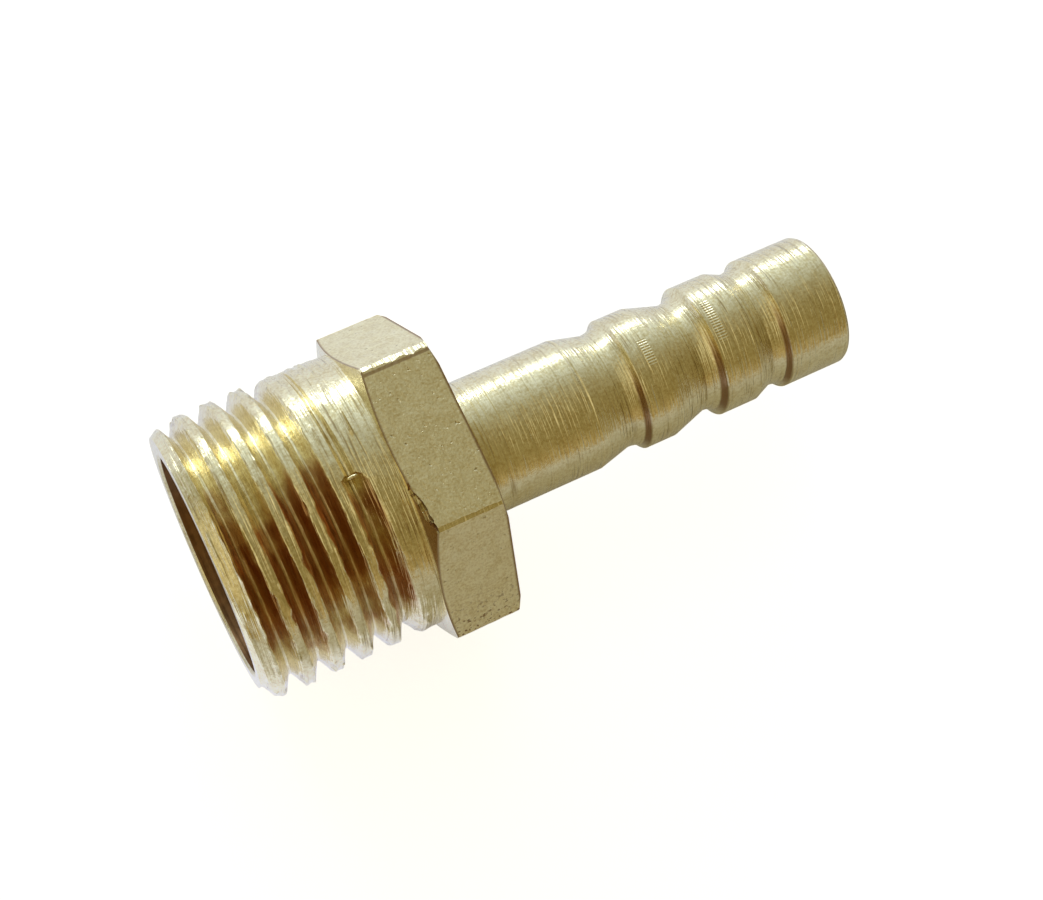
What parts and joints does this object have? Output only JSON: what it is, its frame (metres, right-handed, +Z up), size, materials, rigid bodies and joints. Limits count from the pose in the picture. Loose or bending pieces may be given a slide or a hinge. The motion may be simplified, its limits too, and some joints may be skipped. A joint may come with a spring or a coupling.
{
  "type": "hose barb tail",
  "caption": "Straight brass hose tail: male pipe thread, spanner hexagon and barbed tail for small-bore hose, bored through.",
  "frame": {"origin": "centre of the part's plan outline, at the surface that it lies on", "axes": "+X along the part's axis from the threaded end to the hose end, +Z up, square to the hexagon flat that it lies on"},
  "size_m": [0.0308, 0.015, 0.0129],
  "materials": {
    "brass": "bright turned brass, with fine tool lines and slight tarnish"
  },
  "bodies": {
    "root": {"hose_barb_tail": "brass"}
  },
  "joints": []
}
